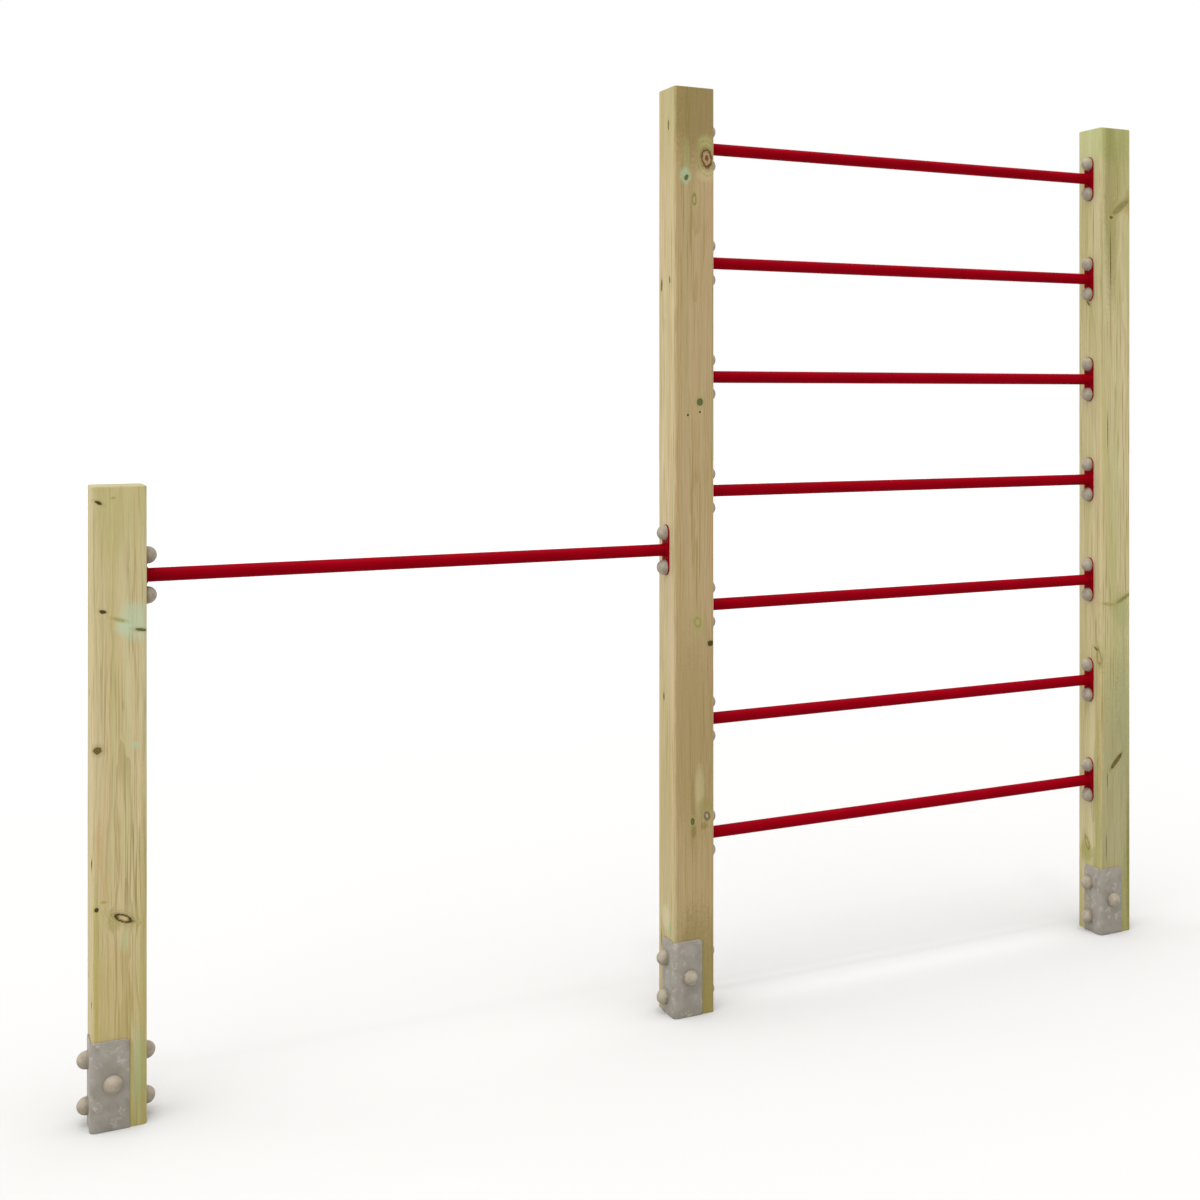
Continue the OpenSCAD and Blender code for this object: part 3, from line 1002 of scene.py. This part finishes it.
def timber_post(post):
    """One post: rounded arrises, knots sunk a little, drying checks and a chamfered top."""
    low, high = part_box(post)
    foot = Vector(((low.x + high.x) / 2, (low.y + high.y) / 2, low.z))
    height = (high.z - low.z) / MM
    columns = post_columns()
    rows = post_rows(post, height)
    grid = []
    for z in rows:
        ring = []
        for place, outward, face in columns:
            planed = PLANING * (1 + noise.noise(Vector((place.x / 30, place.y / 30, z / 160))))
            sink = planed + knot_sink(post, face, across_of(place, face), z)
            spot = place - outward * sink
            ring.append(Vector((spot.x, spot.y, z)))
        grid.append(ring)
    cut_checks(post, columns, grid, rows, height)
    for drop, narrower in ((0.5, 0.5), (0.0, TOP_CHAMFER)):
        ring = []
        for vert, (_place, outward, _face) in zip(grid[len(rows) - 1], columns):
            spot = vert.xy - outward * narrower
            ring.append(Vector((spot.x, spot.y, height - drop)))
        grid.append(ring)
    count = len(columns)
    verts = [vert * MM for ring in grid for vert in ring]
    faces = []
    for row in range(len(grid) - 1):
        for i in range(count):
            j = (i + 1) % count
            start = row * count
            faces.append((start + i, start + j, start + count + j, start + count + i))
    faces.append(tuple(reversed(range(count))))
    faces.append(tuple(range(len(verts) - count, len(verts))))
    piece = make_piece(post + "_timber", Timber(post).material(), [post], verts, faces)
    piece.location = foot
    return piece


# ---- Bars, flanges and welds ----

HOLE_R = 5.5 * MM
WELD_STEPS = 120
WELD_RIPPLES = 22


def flange_plate(node, material):
    """A flange with rounded ends and soft edges, from the box of its CAD node."""
    low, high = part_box(node)
    centre = (low + high) / 2
    post = post_at(centre.x)
    outward = Vector((math.copysign(1, centre.x - (post[0].x + post[1].x) / 2), 0, 0))
    half_width = (high.y - low.y) / 2
    pitch = (high.z - low.z) / 2 - half_width
    outline = arc((pitch, 0), half_width, -90, 90, 24) + arc((-pitch, 0), half_width, 90, 270, 24)
    holes = [hole_loop((pitch, 0), HOLE_R), hole_loop((-pitch, 0), HOLE_R)]
    thickness = high.x - low.x
    matrix = seat_matrix(centre - outward * (thickness / 2), outward)
    verts, faces = placed(taken(plate(outline, holes, thickness, 0.7 * MM)), matrix)
    make_piece(node + "_plate", material, [node], verts, faces)


def weld_bead(box, seed):
    """Fillet weld round a bar's end: overlapping ripples of slightly uneven size."""
    draw = random.Random(seed)
    outer = (box[1].y - box[0].y) / 2
    leg = box[1].x - box[0].x
    inner = outer - leg
    profile = [(inner - 0.4 * MM, 0), (outer, 0)]
    for step in range(1, 7):
        angle = math.radians(90 * step / 7)
        bulge = 0.9 + 0.1 * math.sin(2 * angle)
        out = leg * math.cos(angle) ** 1.35 * bulge
        up = leg * math.sin(angle) ** 1.35 * bulge
        profile.append((inner + out, up))
    profile += [(inner, leg), (inner - 0.4 * MM, leg)]
    sizes = [draw.uniform(0.86, 0.96) for _ in range(WELD_RIPPLES)]

    def ripple(angle):
        turn = angle / (2 * math.pi) * WELD_RIPPLES
        share = turn % 1
        return sizes[int(turn) % WELD_RIPPLES] * (0.93 + 0.09 * math.sin(math.pi * share) ** 0.6)

    return placed(lathe(profile, WELD_STEPS, ripple), seat_of(box))


def welds(node, material):
    """One piece with a bead in the place of each weld of a CAD node."""
    verts, faces = join([weld_bead(box, seed) for seed, box in enumerate(solids_of(node))])
    name = node.replace("welds", "weld_beads")
    make_piece(name, material, [node], verts, faces, 60.0)


# ---- Caps ----

CAP_STEPS = 56
COVER_WALL = 2.0 * MM
BASE_FLOOR = 2.0 * MM
RING_OUTER = 15.2 * MM
RING_INNER = 13.2 * MM


def cover_profile(box):
    """Domed cover with a soft lip and a small moulding mark on top."""
    size = box[1] - box[0]
    radius = size.z / 2
    height = min(size.x, size.y)
    skirt = height - radius
    inside = radius - COVER_WALL
    outer = [(radius - 0.4 * MM, 0), (radius - 0.1 * MM, 0.4 * skirt), (radius, skirt)]
    for step in range(1, 20):
        angle = math.radians(90 * step / 20)
        outer.append((radius * math.cos(angle), skirt + radius * math.sin(angle)))
    mark = height - 0.3 * MM
    outer += [(1.15 * MM, height - 0.04 * MM), (0.85 * MM, mark), (0, mark)]
    inner = [(0, height - COVER_WALL)]
    for step in range(11, -1, -1):
        angle = math.radians(90 * step / 12)
        inner.append((inside * math.cos(angle), skirt + inside * math.sin(angle)))
    return outer + inner + [(inside, 0)]


def base_profile(box):
    """Washer-like base of a cap, with a rounded rim and the ring that holds the cover."""
    size = box[1] - box[0]
    radius = size.z / 2
    height = min(size.x, size.y)
    soft = 0.4 * MM
    rim = [(radius - soft, 0), (radius - 0.1 * MM, 0.15 * MM), (radius, 0.5 * MM)]
    rim += [(radius, BASE_FLOOR - 0.7 * MM), (radius - 0.2 * MM, BASE_FLOOR - 0.2 * MM)]
    rim.append((radius - 0.7 * MM, BASE_FLOOR))
    ring = [(RING_OUTER, BASE_FLOOR), (RING_OUTER, height - soft), (RING_OUTER - soft, height)]
    ring += [(RING_INNER, height), (RING_INNER, BASE_FLOOR)]
    return [(HOLE_R, 0)] + rim + ring + [(HOLE_R, BASE_FLOOR)]


def turned(node, name, profile_of, material):
    """One piece with a turned solid in the place of each solid of a CAD node."""
    boxes = solids_of(node)
    parts = [placed(lathe(profile_of(box), CAP_STEPS), seat_of(box)) for box in boxes]
    verts, faces = join(parts)
    make_piece(name, material, [node], verts, faces, 40.0)


# ---- Anchors ----

BEND_R = ARRIS_R * MM
CORNER_R = 10.0 * MM
BEND_STEPS = 12


def anchor_plate(post, material):
    """A flat plate with holes and rounded top corners, bent round the post's front left arris."""
    low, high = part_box(post + "_anchor")
    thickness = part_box(post)[0].x - low.x
    corner = Vector((low.x + thickness + BEND_R, low.y + thickness + BEND_R))
    straight = high.x - corner.x
    middle_r = BEND_R + thickness / 2
    bend = middle_r * math.pi / 2
    width = 2 * straight + bend
    height = high.z - low.z
    outline = [(0, 0), (width, 0)]
    outline += arc((width - CORNER_R, height - CORNER_R), CORNER_R, 0, 90, 10)
    outline += arc((CORNER_R, height - CORNER_R), CORNER_R, 90, 180, 10)
    holes = []
    for box in solids_of("anchor_cap_bases"):
        seat = seat_of(box)
        centre = seat.translation
        outward = seat.col[2]
        if not (low.x - MM < centre.x < high.x):
            continue
        up = centre.z - low.z
        if outward.y < -0.5:
            holes.append(hole_loop((high.x - centre.x, up), HOLE_R))
        if outward.x < -0.5:
            holes.append(hole_loop((straight + bend + centre.y - corner.y, up), HOLE_R))
    shape = plate(outline, holes, thickness, 0.9 * MM)
    for step in range(BEND_STEPS + 1):
        cut = straight + bend * step / BEND_STEPS
        everything = shape.verts[:] + shape.edges[:] + shape.faces[:]
        plane = {"plane_co": (cut, 0, 0), "plane_no": (1, 0, 0)}
        bmesh.ops.bisect_plane(shape, geom=everything, dist=1e-7, **plane)
    for vert in shape.verts:
        vert.co = bent(vert.co, corner, straight, bend, low.z)
    verts, faces = taken(shape)
    anchor = post + "_anchor"
    make_piece(anchor + "_plate", material, [anchor], verts, faces, 30.0)


def bent(flat, corner, straight, bend, ground):
    """Place of a point of the flat pattern once the plate is bent.

    It runs along the front leg towards -X, round the corner, and along the left leg towards +Y."""
    radius = BEND_R + flat.z
    up = flat.y + ground
    if flat.x < straight:
        return Vector((corner.x + straight - flat.x, corner.y - radius, up))
    if flat.x > straight + bend:
        return Vector((corner.x - radius, corner.y + flat.x - straight - bend, up))
    angle = math.pi / 2 * (flat.x - straight) / bend
    return Vector((corner.x - radius * math.sin(angle), corner.y - radius * math.cos(angle), up))


# ---- Set ----

CAMERA_PLACE = (-1.525, -3.5851, 1.4297)
CAMERA_YAW = -29.163
CAMERA_LENS = 49.737
CAMERA_SHIFT = (-0.22, -0.1695)
PORTRAIT_SENSOR = (24, 36)
FLOOR_HALF = 30.0
FLOOR_GAP = 0.3 * MM


def studio_floor():
    """Pale matt floor, far larger than the view, painted a little brighter far from the bars: a painted
    fade of light into the white backdrop.
    """
    shader = Shader("studio_floor_look")
    x, y, _z = shader.millimetres()
    reach = (x.squared() + y.squared()).root()
    # Painted light: the floor's colour brightens from 2.5 to 6.5 m out, so that it fades into the white
    # backdrop.
    colour = shader.mix(reach.steps(2500.0, 6500.0), srgb(184, 183.6, 182.4), srgb(196, 196, 196))
    material = shader.finish(colour, 0.9, Specular_IOR_Level=0.0)
    mesh = bpy.data.meshes.new("studio_floor")
    shape = bmesh.new()
    bmesh.ops.create_grid(shape, x_segments=8, y_segments=8, size=FLOOR_HALF)
    shape.to_mesh(mesh)
    shape.free()
    mesh.materials.append(material)
    floor = bpy.data.objects.new("studio_floor", mesh)
    bpy.context.scene.collection.objects.link(floor)
    floor.location.z = cad_box[0].z - FLOOR_GAP


def lamp(name, strength, degrees, direction):
    """Soft distant lamp that shines along a direction."""
    light = bpy.data.lights.new(name, "SUN")
    light.energy = strength
    light.angle = math.radians(degrees)
    holder = bpy.data.objects.new(name, light)
    holder.rotation_euler = Vector(direction).to_track_quat("-Z", "Y").to_euler()
    holder.location = Vector(direction) * -5
    bpy.context.scene.collection.objects.link(holder)


def studio_light():
    """An even white room, a soft lamp overhead and a very soft fill from the left."""
    world = bpy.data.worlds.new("studio")
    world.use_nodes = True
    background = world.node_tree.nodes["Background"]
    background.inputs["Color"].default_value = (1.0, 1.0, 1.0, 1.0)
    background.inputs["Strength"].default_value = 1.0
    bpy.context.scene.world = world
    lamp("overhead_lamp", 0.25, 3, (0.06, 0.22, -1.0))
    lamp("overhead_fill", 2.7, 70, (0.03, 0.12, -1.0))
    lamp("left_fill", 1.5, 100, (0.93, 0.12, -0.3))


def camera():
    """A viewpoint close to the photograph's, with less sideways shift than a perfect fit needs."""
    lens = bpy.data.cameras.new("camera")
    lens.sensor_fit = "VERTICAL"
    lens.sensor_width, lens.sensor_height = PORTRAIT_SENSOR
    lens.lens = CAMERA_LENS
    lens.shift_x, lens.shift_y = CAMERA_SHIFT
    view = bpy.data.objects.new("camera", lens)
    view.location = CAMERA_PLACE
    view.rotation_euler = (math.radians(90), 0, math.radians(CAMERA_YAW))
    bpy.context.scene.collection.objects.link(view)
    bpy.context.scene.camera = view
    bpy.context.scene.view_settings.view_transform = "Standard"


def paint(material, *nodes):
    """Gives carried-over CAD nodes a material."""
    for node in nodes:
        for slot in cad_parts[node].material_slots:
            slot.material = material


def build():
    """Sets the picture up and makes every visible piece."""
    camera()
    studio_light()
    studio_floor()
    for post in POSTS:
        timber_post(post)
    red = powder_coat()
    for bar in BARS:
        paint(red, bar + "_tube")
        flange_plate(bar + "_left_flange", red)
        flange_plate(bar + "_right_flange", red)
    welds("low_bar_welds", red)
    welds("rung_welds", red)
    beige = cap_plastic()
    for caps in (*SCREW_GROUPS, "anchor"):
        turned(caps + "_cap_bases", caps + "_bases", base_profile, beige)
        turned(caps + "_cap_covers", caps + "_covers", cover_profile, beige)
    spangle = galvanised()
    for post in POSTS:
        anchor_plate(post, spangle)
    plated = bright_zinc()
    for screws in SCREW_GROUPS:
        paint(plated, screws + "_coach_screws", screws + "_screw_washers")
    paint(plated, "anchor_side_bolts", "anchor_front_bolts", "anchor_bolt_nuts", "anchor_bolt_washers")


build()
